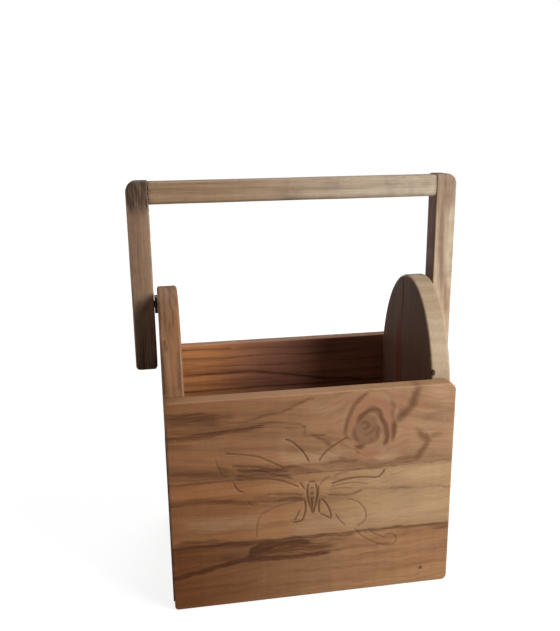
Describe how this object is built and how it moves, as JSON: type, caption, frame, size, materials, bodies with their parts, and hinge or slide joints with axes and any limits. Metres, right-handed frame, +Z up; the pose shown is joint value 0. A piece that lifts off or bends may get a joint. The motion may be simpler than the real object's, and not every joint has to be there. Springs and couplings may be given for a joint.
{
  "type": "wooden tote with swinging handle",
  "caption": "Small open-topped wooden box of edge-glued boards with arched end panels and an upright bail handle that swings on screws; a butterfly is line-carved on the front.",
  "frame": {"origin": "middle of the box's footprint, on the surface that the box stands on", "axes": "+Z up towards the handle bar, +X to the right of someone facing the carved front board, along the handle bar, front board towards -Y"},
  "size_m": [0.213, 0.12, 0.2637],
  "materials": {
    "board_wood": "sanded and lightly oiled, even-grained warm brown hardwood with dark streaks and one large knot",
    "panel_wood": "sanded and lightly oiled, upright grain, warm brown hardwood",
    "bottom_wood": "sanded, warm brown hardwood",
    "handle_wood": "sanded, paler greyish tan hardwood, hand-worn",
    "dowel_wood": "turned, plain",
    "fixing_steel": "plain steel, dulled by handling"
  },
  "bodies": {
    "box": {"front_bottom_stave": "board_wood", "front_middle_stave": "board_wood", "front_top_stave": "board_wood", "back_bottom_stave": "board_wood", "back_middle_stave": "board_wood", "back_top_stave": "board_wood", "left_panel_front_stave": "panel_wood", "left_panel_rear_stave": "panel_wood", "right_panel_front_stave": "panel_wood", "right_panel_rear_stave": "panel_wood", "bottom_front_stave": "bottom_wood", "bottom_rear_stave": "bottom_wood", "left_pivot_screw": "fixing_steel", "left_pivot_washers": "fixing_steel", "right_pivot_screw": "fixing_steel", "right_pivot_washers": "fixing_steel", "front_brads": "fixing_steel", "back_brads": "fixing_steel", "panel_brads": "fixing_steel"},
    "handle": {"left_handle_arm": "handle_wood", "left_bar_dowel": "dowel_wood", "right_handle_arm": "handle_wood", "right_bar_dowel": "dowel_wood", "handle_bar": "handle_wood"}
  },
  "joints": [
    {"name": "handle_swing", "type": "hinge", "parent": "box", "child": "handle", "pos_m": [0, 0, 0.185], "axis": [1, 0, 0], "range_deg": [-120, 120]}
  ]
}
